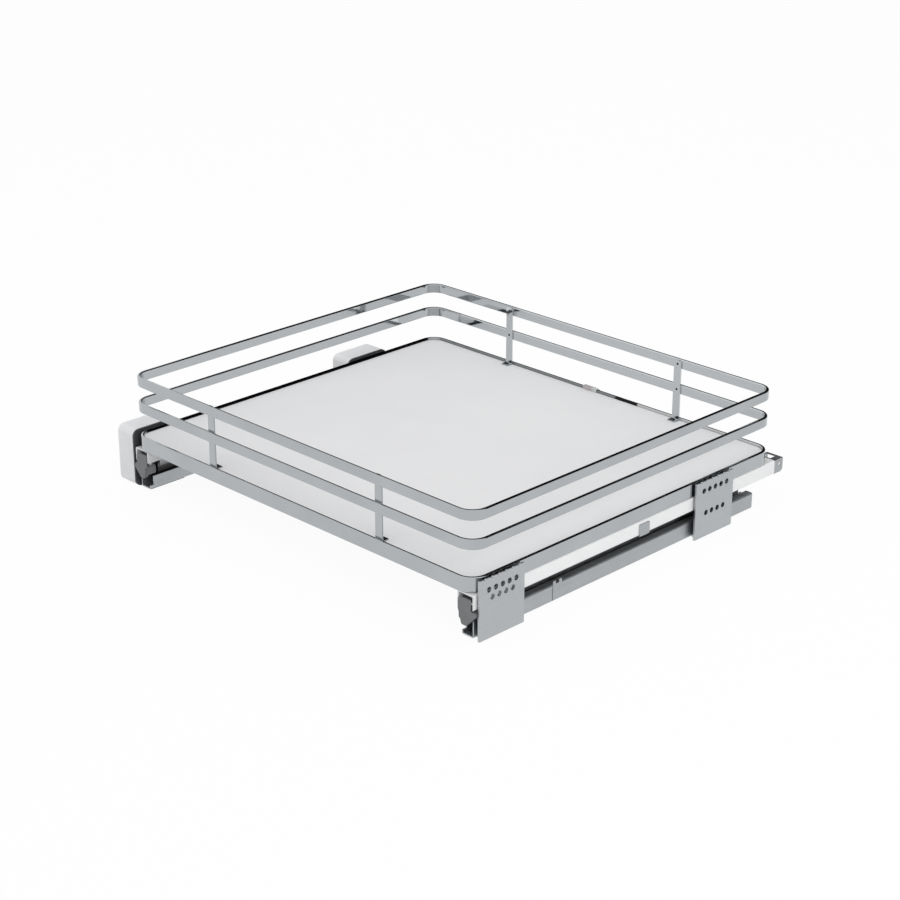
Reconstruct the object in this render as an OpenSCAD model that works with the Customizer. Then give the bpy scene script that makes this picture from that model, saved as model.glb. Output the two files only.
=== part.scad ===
// Pull-out tray basket on full-extension runners, with its side brackets and spacers.
// Lengths are in millimetres. X runs left to right, Y front to back and Z up.
// The origin lies under the middle of the whole object, level with the brackets' underside.
// A slide is drawn once for the left side: there X counts inwards from the cabinet rail's
// outer face. The right slide is its mirror image.

/* [Tray] */
// Outside width of the tray
tray_w = 529; // [460:1:700]
// Outside depth of the tray
tray_d = 470; // [455:1:520]
// Outside radius of the corners, seen from above
corner_r = 20; // [12:1:40]
// Thickness of the steel strip of the rim and the guard rails
strip_t = 3.7; // [2.5:0.1:5]
// Height of the rim
rim_h = 16.7; // [14:0.1:24]
// Depth of the panel's top below the rim's top
panel_drop = 3; // [1:0.1:4]
// Gap between the panel's edge and the rim
panel_gap = 0.1; // [0.05:0.05:0.5]
// Length of the moulded cover over the joint of the rim
joint_cover_l = 20.5; // [8:0.5:24]
// Wall of the joint cover
joint_cover_t = 1.4; // [0.6:0.1:1.5]
// Distance from the joint cover's left end to the middle of the tray
joint_cover_out = 9.5; // [0:0.5:30]
// Gap between the joint cover and the joint screw's head
joint_screw_gap = 0.4; // [0.2:0.1:3]
// Diameter of the joint screw's head
joint_head_d = 3.2; // [2.4:0.1:3.6]

/* [Guard rails] */
// Height of a guard rail's strip
guard_h = 11.3; // [9:0.1:16]
// Gap between the rim and the lower guard rail
low_gap = 28.5; // [15:0.5:50]
// Gap between the two guard rails
high_gap = 19.1; // [10:0.1:40]

/* [Uprights] */
// Width of an upright
upright_w = 10; // [9:0.5:18]
// Thickness of an upright
upright_t = 1.5; // [1.5:0.1:3]
// Length of an upright's foot on the panel
foot_l = 9; // [8:0.5:14]
// Distance of the front left upright from the middle of the tray
front_left_out = 129; // [60:1:180]
// Distance of the front right upright from the middle of the tray
front_right_out = 131; // [60:1:180]
// Distance of the rear left upright from the middle of the tray
rear_left_out = 129.5; // [60:0.5:180]
// Distance of the rear right upright from the middle of the tray
rear_right_out = 131; // [60:0.5:180]
// Radius of an upright's upper corners
upright_r = 3; // [1:0.5:4]
// Distance of an upright's top below the top of the upper guard rail
upright_short = 1; // [0.5:0.5:3]
// Diameter of a rivet's shank
rivet_d = 2; // [1.8:0.1:4]
// Distance by which a rivet's head stands out past its shank
rivet_head_lip = 0.5; // [0.4:0.1:2]
// Height of a rivet's head
rivet_head_h = 0.8; // [0.5:0.1:1.5]
// Depth of a rivet in the strip
rivet_bite = 1.6; // [1:0.1:2]
// Distance of a foot screw from the rim
foot_screw_in = 5.6; // [5.2:0.1:6]
// Diameter of a foot screw's head
foot_head_d = 6; // [4.5:0.1:7]
// Height of a foot screw's head
foot_head_h = 1.6; // [1:0.1:2.5]
// Diameter of a foot screw's shank
foot_screw_d = 3; // [2.5:0.1:3.5]
// Length of a foot screw under its head
foot_screw_l = 10; // [6:0.5:11]

/* [Runners] */
// Thickness of the rails' sheet
sheet_t = 1.5; // [1:0.1:1.8]
// Outside radius of the rails' bends
bend_r = 2; // [1.9:0.1:3]
// Width of the cabinet rail
cab_w = 16; // [15:0.5:20]
// Height of the cabinet rail
cab_h = 18.6; // [17:0.1:24]
// Length of the cabinet rail
cab_l = 435.5; // [425:0.5:445]
// Distance of the cabinet rail's front end behind the tray's front
cab_setback = 5.5; // [5:0.1:8]
// Width of the cabinet rail's top flange
flange_w = 8.7; // [7.5:0.1:9]
// Height of the cabinet rail's inner wall
inner_wall_h = 16.2; // [12:0.1:16.4]
// Length over which the inner wall is cut back at the cabinet rail's front
wall_notch_l = 5; // [2:0.5:10]
// Height that the inner wall keeps where it is cut back
wall_notch_h = 4.5; // [3:0.5:8]
// Length over which the flange is cut back at the cabinet rail's front
notch_l = 13; // [10:0.5:14]
// Clear height between the cabinet rail and the drawer rail
rail_rise = 12.6; // [11:0.1:20]
// Distance by which the drawer rail stands out beyond each side of the cabinet rail
overhang = 2.9; // [2.4:0.1:3.4]
// Height of the drawer rail
drawer_h = 16.3; // [15.5:0.1:22]
// Length of the drawer rail
drawer_l = 473; // [465:1:480]
// Distance of the drawer rail's front end behind the tray's front
drawer_setback = 2; // [1.7:0.1:2.3]
// Width of the drawer rail's turned-in lip
lip_w = 8; // [7:0.1:9]
// Length over which the lip is cut back at the front
lip_cut = 16; // [14:0.5:30]
// Distance of the middle rail's front end behind the tray's front
middle_setback = 20; // [18:0.5:24]
// Length of the middle rail
middle_l = 410; // [395:1:412]
// Distance of the middle rail's skirt above the cabinet rail
skirt_gap = 6.4; // [4:0.1:9]
// Distance of the lug's front from the cabinet rail's front end
lug_at = 112.5; // [80:0.5:200]
// Length of the lug on the cabinet rail's outer wall
lug_l = 13; // [6:0.5:20]
// Height of the lug
lug_h = 3.5; // [1:0.5:5]
// Width of the gap between the lug's two prongs
lug_gap = 5; // [3:0.5:8]
// Width of the groove in the outer wall in front of the lug
groove_w = 1.6; // [0.8:0.1:3]
// Depth of the groove
groove_deep = 0.6; // [0.3:0.1:0.8]

/* [Roller cages] */
// Diameter of a roller
roller_d = 4; // [3.6:0.1:4.2]
// Running gap between a roller and each of its tracks
run_gap = 0.05; // [0.02:0.01:0.1]
// Length of the rollers that carry the load
long_roller_l = 7; // [5:0.1:8]
// Length of the rollers that hold the rail down
short_roller_l = 3.6; // [2.5:0.1:3.8]
// Number of rollers in a row
roller_n = 7; // [3:1:7]
// Distance between neighbouring rollers
roller_pitch = 22; // [12:0.5:23]
// Length of a cage
cage_l = 160; // [150:1:170]
// Thickness of a cage's strips
cage_t = 2.5; // [1.5:0.1:2.8]
// Thickness of a cage's side wall
cage_wall = 1.5; // [1:0.1:1.6]
// Gap between a cage and the rails beside it
cage_gap = 0.3; // [0.25:0.05:0.4]
// Distance of a cage strip's edge from the rail beyond it
cage_slack = 1; // [0.6:0.1:1.4]
// Gap round a roller in its window
window_gap = 0.2; // [0.1:0.05:0.3]
// Distance of the lower cage's front behind the tray's front
low_cage_at = 140; // [135:1:150]
// Distance of the upper cage's front behind the tray's front
high_cage_at = 170; // [160:1:172]

/* [Rail fittings] */
// Length of a rear hook behind the drawer rail
hook_l = 15; // [12:0.5:20]
// Thickness of a rear hook's sheet
hook_t = 1.2; // [0.8:0.1:1.4]
// Drop of a rear hook's top below the drawer rail's top
hook_drop = 0.2; // [0:0.1:1]
// Distance of the hook's lower edge above the drawer rail's lower edge
hook_rise = 0.3; // [0:0.1:2]
// Radius of the hook's lower rear corner
hook_r = 4; // [1:0.5:6]
// Diameter of the hook's locating hole
hook_hole_d = 3.8; // [2:0.1:4]
// Distance of the hook's locating hole from its rear end
hook_hole_in = 5.3; // [4:0.1:7]
// Height of the hook's locating hole above the drawer rail's lower edge
hook_hole_z = 9.5; // [6:0.1:11]
// Length of the hook's tongue in the drawer rail
tongue_l = 12; // [8:0.5:13]
// Diameter of a hook rivet
hook_rivet_d = 3; // [2:0.1:3.5]
// Distance of the side tab's front behind the tray's front
tab_at = 245; // [220:1:300]
// Length of the side tab
tab_l = 16; // [8:0.5:24]
// Height of the side tab
tab_h = 13.5; // [8:0.1:14]
// Distance by which the side tab hangs below the drawer rail
tab_hang = 0.7; // [0:0.1:2]
// Thickness of the side tab
tab_t = 1.2; // [0.8:0.1:1.4]
// Distance of a front tray screw from the drawer rail's front end
front_screw_at = 43; // [34:0.5:60]
// Distance of a rear tray screw from the drawer rail's rear end
rear_screw_at = 22; // [18:0.5:24]
// Diameter of a tray screw's head
tray_head_d = 7; // [6:0.1:8]
// Height of a tray screw's head
tray_head_h = 2.5; // [1.5:0.1:3]
// Diameter of a tray screw's shank
tray_screw_d = 4; // [3:0.1:4.5]
// Depth of a tray screw in the panel
tray_bite = 8; // [5:0.5:9]
// Gap round a screw, pin or peg in its hole
pin_gap = 0.05; // [0.02:0.01:0.1]
// Diameter of a rear buffer
buffer_d = 7; // [5:0.1:7.4]
// Diameter of a rear buffer's stem
buffer_stem_d = 3; // [2:0.1:3.5]
// Gap between a rear buffer and the closed middle rail
buffer_gap = 0.3; // [0.2:0.1:0.8]

/* [Front clips] */
// Distance by which a front clip stands ahead of the drawer rail
clip_proud = 1.6; // [1:0.1:1.6]
// Depth of a front clip
clip_d = 14; // [13.5:0.1:16]
// Distance of a front clip's top below the drawer rail's top
clip_drop = 5.4; // [3:0.1:6.5]
// Radius of a front clip's corners
clip_r = 2.6; // [1:0.1:3]
// Distance of the hinge pin behind the clip's front face
pin_in = 6.1; // [5.6:0.1:6.4]
// Height of the hinge pin above the drawer rail's lower edge
pin_rise = 0.3; // [0:0.1:0.6]
// Diameter of the hinge pin
pin_d = 2; // [1.5:0.1:2.4]
// Radius of the lever's knuckle and the clip's ears
knuckle_r = 3; // [2.4:0.1:3.2]
// Width of a clip's ear
ear_w = 3; // [2:0.1:3.5]
// Gap between the lever and the clip
lever_gap = 0.3; // [0.2:0.1:0.4]
// Gap between the lever and the cabinet rail
rail_gap = 0.6; // [0.4:0.1:1]
// Gap between the lever's shoulder and the cabinet rail's walls
shoulder_gap = 1.8; // [1.8:0.1:3]
// Depth of the lever
lever_d = 12.6; // [11:0.1:12.8]
// Distance of the shield's outer edge from the drawer rail's outer wall
shield_inset = 1.5; // [0.3:0.1:3]
// Gap between the lever's shield and the drawer rail's front end
shield_gap = 0.2; // [0.15:0.05:0.4]
// Distance by which the shield's top stands behind its foot
shield_slope = 0.8; // [0.4:0.1:2.4]
// Distance of the clip's body behind the hinge pin, which leaves room for the shield to swing
shield_back = 1.8; // [1.7:0.1:2.5]
// Gap between the lever's bulge and the bracket plate
bulge_gap = 0.9; // [0.5:0.1:1.5]
// Radius of the lever's bulge
bulge_r = 3.8; // [3:0.1:4]
// Distance by which the lever's tip reaches below the cabinet rail's top
tip_reach = 5.1; // [4:0.1:8]
// Radius of the lever's tip
tip_r = 2.6; // [2:0.1:3.5]
// Diameter of the pegs that hold a clip in the drawer rail
peg_d = 3.6; // [2.5:0.1:4]

/* [Brackets] */
// Thickness of a bracket's plate
bracket_t = 2; // [1.5:0.1:3]
// Thickness of a bracket's web under the rail
web_t = 2; // [1.5:0.1:3]
// Gap between the tray and a bracket's plate
side_gap = 2.1; // [1.9:0.1:4]
// Length of a right bracket's plate
plate_l = 63; // [58:0.5:80]
// Height of a right bracket's plate
plate_h = 65; // [60:0.5:80]
// Radius of a right bracket's corners
plate_r = 1; // [0.5:0.5:3]
// Distance of the right rear bracket behind the cabinet rail's front end
right_rear_at = 327.2; // [280:0.1:340]
// Distance by which a web is shorter than its plate at each end
web_recess = 7.5; // [2:0.5:10]
// Distance of a web's free edge from the cabinet rail's inner face
web_inset = 4; // [0:0.5:5]
// Diameter of a bracket's screw holes
hole_d = 6; // [4:0.1:6.5]
// Distance between neighbouring screw holes
hole_pitch = 9.5; // [8:0.1:10]
// Distance of the screw holes' middle behind the plate's middle
row_shift = 0.9; // [0:0.1:2]
// Number of holes in an upper row
upper_n = 5; // [3:1:5]
// Number of holes in a lower row
lower_n = 4; // [2:1:5]
// Height of the front bracket's upper row
front_upper_z = 52.4; // [50:0.1:56]
// Height of the front bracket's lower row
front_lower_z = 43.4; // [30:0.1:44]
// Height of the rear bracket's upper row
rear_upper_z = 54; // [50:0.1:56]
// Height of the rear bracket's lower row
rear_lower_z = 27.8; // [20:0.1:40]
// Number of notches in a right plate's top edge
notch_n = 6; // [3:1:6]
// Radius of such a notch
top_notch_r = 2.6; // [2:0.1:3.5]
// Depth of such a notch
top_notch_h = 1; // [0.5:0.1:1.5]
// Diameter of the rivets between the web and the cabinet rail
web_rivet_d = 4; // [3:0.1:5]
// Distance between the two rivets of a bracket
web_rivet_span = 30; // [20:1:40]

/* [Spacers] */
// Thickness of a spacer, from the bracket to the cabinet side
spacer_t = 26.8; // [16:0.1:40]
// Length of a spacer and its bracket plate
spacer_l = 62.7; // [60:0.1:80]
// Height of a spacer and its bracket plate
spacer_h = 68; // [60:0.5:80]
// Radius of a spacer's corners
spacer_r = 8; // [4:0.5:12]
// Distance of the front spacer ahead of the cabinet rail's front end
spacer_lead = 4.2; // [0:0.1:4.8]
// Distance of the rear spacer behind the cabinet rail's front end
left_rear_at = 320.5; // [280:0.1:340]
// Wall of a spacer
spacer_wall = 3; // [2:0.1:4]
// Thickness of a spacer's ribs
rib_t = 2; // [1.2:0.1:3]
// Distance between a spacer's two screw holes
spacer_pitch = 32; // [28:0.5:34]
// Height of a spacer's two screw holes
spacer_hole_z = 44; // [40:0.1:50]
// Diameter of the boss round such a hole
boss_d = 11; // [9:0.1:13]
// Distance between the screws that hold a spacer to its bracket
spacer_screw_span = 28; // [20:0.5:30]
// Height of these screws
spacer_screw_z = 26; // [25:0.1:27]
// Diameter of their heads
spacer_head_d = 7; // [5:0.1:8]
// Height of their heads
spacer_head_h = 1.6; // [1:0.1:1.8]
// Diameter of their shanks
spacer_screw_d = 3.5; // [3:0.1:4]
// Length of their shanks
spacer_screw_l = 14; // [8:0.5:15]

/* [Dampers] */
// Outside diameter of a damper's cylinder
damper_d = 9; // [8:0.1:10]
// Wall of a damper's cylinder
damper_wall = 1.3; // [1:0.1:1.5]
// Length of a damper's cylinder
damper_l = 88; // [85:0.5:100]
// Distance of the cylinder's front behind the tray's front
damper_at = 295; // [285:0.5:305]
// Thickness of the cylinder's two ends
damper_end = 4; // [2:0.1:6]
// Diameter of the damper's rod
rod_d = 3.2; // [2.5:0.1:3.6]
// Diameter of the damper's tip
rod_tip_d = 6; // [5:0.1:7]
// Thickness of the damper's tip
rod_tip_l = 3; // [2:0.1:4]
// Length of the rod that shows when the drawer is closed
rod_show = 6.8; // [4:0.1:8]
// Length of the piston
piston_l = 6; // [4:0.1:8]
// Gap round the rod and round the piston
piston_gap = 0.1; // [0.05:0.01:0.1]
// Height of the damper's middle above the cabinet rail's underside
damper_rise = 9.5; // [8:0.1:10]
// Thickness of the damper carrier's base
carrier_t = 1.2; // [1:0.1:2]
// Height of the damper carrier's base
carrier_h = 12; // [10:0.1:13]
// Thickness of the rings that hold the cylinder
ring_t = 1.5; // [1:0.1:2]
// Length of each ring
ring_l = 8; // [5:0.5:12]
// Width of the mouth through which the cylinder snaps in
ring_mouth = 5; // [3:0.1:6]
// Distance of the rings from the cylinder's ends
ring_in = 10; // [5:0.5:20]
// Thickness of the catch that meets the damper
catch_t = 1.5; // [1:0.1:2]
// Length of the catch along the rail
catch_l = 14; // [8:0.5:20]
// Height of the catch's foot
catch_foot_h = 9; // [7:0.1:12]
// Gap between the catch and the damper's tip
catch_gap = 0.2; // [0.1:0.1:0.5]

/* [Hidden] */
$fn = 48;
hull_fn = 32;
// Extra length of a cutting shape beyond the face that it cuts
cut = 1;

steel = "silver";
bright_steel = "gainsboro";
white = "whitesmoke";
dark_steel = "dimgray";
grey_plastic = "gray";
black_rubber = "#202020";

// Heights, from the brackets' underside up
cab_top = web_t + cab_h;
drawer_z = cab_top + rail_rise;
drawer_top = drawer_z + drawer_h;
rim_top = drawer_top + rim_h;
panel_top = rim_top - panel_drop;
low_guard_z = rim_top + low_gap;
high_guard_z = low_guard_z + guard_h + high_gap;
basket_top = high_guard_z + guard_h;
upright_top = basket_top - upright_short;

// Places along Y, counted from the middle of the tray
tray_front = -tray_d / 2;
cab_front = tray_front + cab_setback;
cab_rear = cab_front + cab_l;
drawer_front = tray_front + drawer_setback;
drawer_rear = drawer_front + drawer_l;
middle_front = tray_front + middle_setback;
middle_rear = middle_front + middle_l;
hook_rear = drawer_rear + hook_l;
clip_front = drawer_front - clip_proud;

// Middle of the tray in the object's frame, and the cabinet rail's distance from it
tray_x = spacer_t / 2;
tray_y = -max(0, hook_rear - tray_d / 2) / 2;
slide_x = tray_w / 2 - overhang;

// Distances inwards from the cabinet rail's outer face
drawer_out = -overhang;
drawer_in = cab_w + overhang;
plate_in = -overhang - side_gap;
plate_out = plate_in - bracket_t;
spacer_out = plate_out - spacer_t;
lip_edge = drawer_out + lip_w;

// Middle rail: the tracks of its foot and its head, and the middle of its web
track = roller_d + 2 * run_gap;
foot_z = web_t + sheet_t + track;
foot_top = cab_top - sheet_t - track;
foot_out = sheet_t + 2 * cage_gap + cage_wall;
head_z = drawer_z + sheet_t + track;
head_top = drawer_top - sheet_t - track;
head_out = drawer_out + sheet_t + 2 * cage_gap + cage_wall;
web_mid = (flange_w + cab_w - sheet_t) / 2;
web_out = web_mid - sheet_t / 2;
web_in = web_mid + sheet_t / 2;
skirt_z = cab_top + skirt_gap;

// Damper
damper_u = cab_w + carrier_t + cage_gap + damper_d / 2;
damper_z = web_t + damper_rise;
damper_front = tray_front + damper_at;
tip_front = damper_front - rod_show - rod_tip_l;
catch_rear = tip_front - catch_gap;

// Front clip: the hinge pin's place and the span of the clip between the rail's walls
pin_y = clip_front + pin_in;
pin_z = drawer_z + pin_rise;
clip_out = drawer_out + sheet_t;
clip_in = drawer_in - sheet_t;
clip_top = drawer_top - clip_drop;

// Placing: the tray's middle, and the outer face of each cabinet rail
module at_tray() {
    translate([tray_x, tray_y, 0]) children();
}

module left_side() {
    at_tray() translate([-slide_x, 0, 0]) children();
}

module right_side() {
    at_tray() translate([slide_x, 0, 0]) mirror([1, 0, 0]) children();
}

module both_sides() {
    left_side() children();
    right_side() children();
}

// The rim's inner face at the tray's front and rear, with Y counting towards the middle
module front_edge() {
    at_tray() translate([0, tray_front + strip_t, 0]) children();
}

module rear_edge() {
    at_tray() mirror([0, 1, 0]) translate([0, tray_front + strip_t, 0]) children();
}

// Extrusions: a profile of X and Z along Y, a profile of Y and Z along X, and bars along X and Y
module along_y(y0, y1) {
    translate([0, y1, 0]) rotate([90, 0, 0]) linear_extrude(y1 - y0) children();
}

module along_x(x0, x1) {
    translate([x0, 0, 0]) rotate([90, 0, 90]) linear_extrude(x1 - x0) children();
}

module bar_x(x0, x1, y, z, d) {
    translate([x0, y, z]) rotate([0, 90, 0]) cylinder(h = x1 - x0, d = d);
}

module bar_y(y0, y1, x, z, d) {
    translate([x, y0, z]) rotate([-90, 0, 0]) cylinder(h = y1 - y0, d = d);
}

module block(x0, x1, y0, y1, z0, z1) {
    translate([x0, y0, z0]) cube([x1 - x0, y1 - y0, z1 - z0]);
}

// A rectangle between two corners with four round corners
module rounded_rect(x0, y0, x1, y1, r) {
    translate([x0 + r, y0]) square([x1 - x0 - 2 * r, y1 - y0]);
    translate([x0, y0 + r]) square([x1 - x0, y1 - y0 - 2 * r]);
    for (x = [x0 + r, x1 - r], y = [y0 + r, y1 - r])
        translate([x, y]) circle(r = r);
}

// A sheet bent along the points of its middle line, which turn at right angles
module bent_sheet(points, t) {
    for (i = [0 : len(points) - 2]) {
        run = points[i + 1] - points[i];
        translate(points[i]) rotate(atan2(run[1], run[0]))
            translate([0, -t / 2]) square([norm(run), t]);
        if (i > 0)
            translate(points[i]) circle(d = t);
    }
}

// A low domed head that stands on Z = 0
module dome(d, h) {
    r = (d * d / 4 + h * h) / (2 * h);
    rotate_extrude() intersection() {
        translate([0, h - r]) circle(r = r);
        square([d / 2, h]);
    }
}

// A screw or rivet with its head above Z = 0 and its shank below
module button(head_d, head_h, shank_d, shank_l) {
    dome(head_d, head_h);
    translate([0, 0, -shank_l]) cylinder(h = shank_l + head_h / 2, d = shank_d);
}

// A loop of strip round the tray
module strip_loop(z, h) {
    at_tray() translate([0, 0, z]) linear_extrude(h) difference() {
        tray_outline(0);
        tray_outline(strip_t);
    }
}

module tray_outline(inset) {
    rounded_rect(-tray_w / 2 + inset, -tray_d / 2 + inset,
        tray_w / 2 - inset, tray_d / 2 - inset, corner_r - inset);
}

// Tray

module tray_panel() {
    color(white) difference() {
        at_tray() translate([0, 0, drawer_top]) linear_extrude(panel_top - drawer_top)
            tray_outline(strip_t + panel_gap);
        both_sides() for (y = tray_screw_places())
            translate([cab_w / 2, y, drawer_top - cut])
                cylinder(h = tray_bite + 2 * cut, d = tray_screw_d + 2 * pin_gap);
        front_edge() foot_screw_holes(front_left_out, front_right_out);
        rear_edge() foot_screw_holes(rear_left_out, rear_right_out);
    }
}

module foot_screw_holes(left_out, right_out) {
    for (x = [-left_out, right_out])
        translate([x, foot_screw_in, panel_top + upright_t - foot_screw_l - cut])
            cylinder(h = foot_screw_l + 2 * cut, d = foot_screw_d + 2 * pin_gap);
}

function tray_screw_places() = [drawer_front + front_screw_at, drawer_rear - rear_screw_at];

module tray_rim() {
    color(steel) difference() {
        strip_loop(drawer_top, rim_h);
        at_tray() translate([joint_screw_x(), tray_d / 2 - strip_t / 2, rim_top - rim_h / 2])
            cylinder(h = rim_h, d = joint_screw_d() + 2 * pin_gap);
    }
}

function joint_screw_d() = joint_head_d / 2;
function joint_screw_x() =
    joint_cover_l - joint_cover_out + joint_screw_gap + joint_head_d / 2;

module rim_joint_cover() {
    color(white) at_tray()
        translate([-joint_cover_out, tray_d / 2 - strip_t - joint_cover_t, panel_top])
            difference() {
                cube([joint_cover_l, strip_t + joint_cover_t, panel_drop + joint_cover_t]);
                translate([-cut, joint_cover_t, -cut])
                    cube([joint_cover_l + 2 * cut, strip_t + cut, panel_drop + cut]);
            }
}

module rim_joint_screw() {
    color(dark_steel) at_tray()
        translate([joint_screw_x(), tray_d / 2 - strip_t / 2, rim_top])
            button(joint_head_d, joint_head_d / 4, joint_screw_d(), rim_h / 2);
}

module lower_guard_rail() {
    color(steel) difference() {
        strip_loop(low_guard_z, guard_h);
        upright_rivet_holes();
    }
}

module upper_guard_rail() {
    color(steel) difference() {
        strip_loop(high_guard_z, guard_h);
        upright_rivet_holes();
    }
}

// Uprights, each a bent strip inside the guard rails with its foot on the panel

module upright(x) {
    color(steel) difference() {
        union() {
            along_y(0, upright_t) {
                translate([x - upright_w / 2, panel_top])
                    square([upright_w, upright_top - upright_r - panel_top]);
                translate([x - upright_w / 2 + upright_r, panel_top])
                    square([upright_w - 2 * upright_r, upright_top - panel_top]);
                for (side = [-1, 1])
                    translate([x + side * (upright_w / 2 - upright_r), upright_top - upright_r])
                        circle(r = upright_r);
            }
            block(x - upright_w / 2, x + upright_w / 2, 0, foot_l,
                panel_top, panel_top + upright_t);
        }
        for (z = rivet_heights())
            bar_y(-cut, upright_t + cut, x, z, rivet_d + 2 * pin_gap);
        translate([x, foot_screw_in, panel_top - cut])
            cylinder(h = upright_t + 2 * cut, d = foot_screw_d + 2 * pin_gap);
    }
}

function rivet_heights() = [low_guard_z + guard_h / 2, high_guard_z + guard_h / 2];

module front_left_upright() { front_edge() upright(-front_left_out); }
module front_right_upright() { front_edge() upright(front_right_out); }
module rear_left_upright() { rear_edge() upright(-rear_left_out); }
module rear_right_upright() { rear_edge() upright(rear_right_out); }

module rivet_pair_holes(left_out, right_out) {
    for (x = [-left_out, right_out], z = rivet_heights())
        bar_y(-rivet_bite - pin_gap, cut, x, z, rivet_d + 2 * pin_gap);
}

module upright_rivet_holes() {
    front_edge() rivet_pair_holes(front_left_out, front_right_out);
    rear_edge() rivet_pair_holes(rear_left_out, rear_right_out);
}

module rivet_pair(left_out, right_out) {
    for (x = [-left_out, right_out], z = rivet_heights())
        translate([x, upright_t, z]) rotate([-90, 0, 0])
            button(rivet_d + 2 * rivet_head_lip, rivet_head_h, rivet_d, upright_t + rivet_bite);
}

module upright_rivets() {
    color(steel) {
        front_edge() rivet_pair(front_left_out, front_right_out);
        rear_edge() rivet_pair(rear_left_out, rear_right_out);
    }
}

module foot_screw_pair(left_out, right_out) {
    for (x = [-left_out, right_out])
        translate([x, foot_screw_in, panel_top + upright_t])
            difference() {
                button(foot_head_d, foot_head_h, foot_screw_d, foot_screw_l);
                translate([0, 0, foot_head_h / 2])
                    cylinder(h = foot_head_h, d = foot_head_d / 3, $fn = 6);
            }
}

module foot_screws() {
    color(steel) {
        front_edge() foot_screw_pair(front_left_out, front_right_out);
        rear_edge() foot_screw_pair(rear_left_out, rear_right_out);
    }
}

module tray_screws() {
    color(steel) both_sides() for (y = tray_screw_places())
        translate([cab_w / 2, y, drawer_top - sheet_t]) mirror([0, 0, 1])
            button(tray_head_d, tray_head_h, tray_screw_d, sheet_t + tray_bite);
}

// Drawer rail: a channel open downwards, with a lip turned in along its outer wall

module drawer_rail() {
    color(bright_steel) difference() {
        along_y(drawer_front, drawer_rear) difference() {
            rounded_rect(drawer_out, drawer_z, drawer_in, drawer_top, bend_r);
            rounded_rect(drawer_out + sheet_t, drawer_z + sheet_t,
                drawer_in - sheet_t, drawer_top - sheet_t, bend_r - sheet_t);
            translate([lip_edge, drawer_z - cut])
                square([drawer_in - sheet_t - lip_edge, sheet_t + bend_r + cut]);
            translate([lip_edge, drawer_z - cut])
                square([drawer_in - lip_edge + cut, bend_r + cut]);
        }
        block(drawer_out + sheet_t, lip_edge + cut, drawer_front - cut, drawer_front + lip_cut,
            drawer_z - cut, drawer_z + bend_r + cut);
        clip_pegs(pin_gap, cut);
        hook_rivet_bars(hook_rivet_d + 2 * pin_gap);
        for (y = tray_screw_places())
            translate([cab_w / 2, y, drawer_top - sheet_t - cut])
                cylinder(h = sheet_t + 2 * cut, d = tray_screw_d + 2 * pin_gap);
    }
}

module left_drawer_rail() { left_side() drawer_rail(); }
module right_drawer_rail() { right_side() drawer_rail(); }

// Rear hook: a cap with two sides and a slotted top, held by a tongue inside the outer wall

module rear_hook() {
    hook_top = drawer_top - hook_drop;
    hook_z = drawer_z + hook_rise;
    tongue_out = drawer_out + sheet_t;
    joggle = 2 * hook_t;
    slot_l = hook_l * 2 / 3;
    color(steel) difference() {
        union() {
            for (u = [drawer_out, drawer_in - hook_t])
                along_x(u, u + hook_t) difference() {
                    translate([drawer_rear, hook_z])
                        square([hook_l, hook_top - hook_z]);
                    translate([hook_rear - hook_r, hook_z]) difference() {
                        translate([0, -cut]) square([hook_r + cut, hook_r + cut]);
                        translate([0, hook_r]) circle(r = hook_r);
                    }
                }
            block(drawer_out, drawer_in, drawer_rear, hook_rear, hook_top - hook_t, hook_top);
            block(drawer_out, tongue_out + hook_t, drawer_rear, drawer_rear + joggle,
                hook_z, hook_top);
            block(tongue_out, tongue_out + hook_t, drawer_rear - tongue_l, drawer_rear + joggle,
                drawer_z + bend_r, drawer_top - bend_r);
        }
        bar_x(drawer_out - cut, drawer_out + hook_t + cut, hook_rear - hook_hole_in,
            drawer_z + hook_hole_z, hook_hole_d);
        block(lip_edge, drawer_in - 2 * hook_t, hook_rear - 2 * hook_t - slot_l,
            hook_rear - 2 * hook_t, hook_top - hook_t - cut, hook_top + cut);
        hook_rivet_bars(hook_rivet_d + 2 * pin_gap);
    }
}

module hook_rivet_bars(d) {
    for (z = [drawer_z + drawer_h / 4, drawer_top - drawer_h / 4])
        bar_x(drawer_out, drawer_out + sheet_t + hook_t, drawer_rear - tongue_l / 2, z, d);
}

module left_rear_hook() { left_side() rear_hook(); }
module right_rear_hook() { right_side() rear_hook(); }

module hook_rivets() {
    color(steel) both_sides() hook_rivet_bars(hook_rivet_d);
}

module rail_side_tabs() {
    color(steel) both_sides()
        along_x(drawer_out - tab_t, drawer_out)
            rounded_rect(tray_front + tab_at, drawer_z - tab_hang,
                tray_front + tab_at + tab_l, drawer_z - tab_hang + tab_h, plate_r);
}

module damper_catches() {
    color(steel) both_sides() {
        block(drawer_in, drawer_in + catch_t, catch_rear - catch_l, catch_rear,
            damper_z - catch_foot_h / 2, drawer_top - bend_r);
        block(drawer_in, damper_u + rod_tip_d / 2, catch_rear - catch_t, catch_rear,
            damper_z - catch_foot_h / 2, damper_z + catch_foot_h / 2);
    }
}

// Front clip: a plastic block between the drawer rail's walls, held by a peg, with two ears for
// the lever

function clip_rear() = clip_front + clip_d;
function clip_body_front() = pin_y + shield_back;

module clip_pegs(gap, past) {
    peg_y = (clip_body_front() + clip_rear()) / 2;
    peg_z = (pin_z + knuckle_r + clip_top) / 2;
    bar_x(drawer_out - past, clip_out + clip_r, peg_y, peg_z, peg_d + 2 * gap);
}

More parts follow.
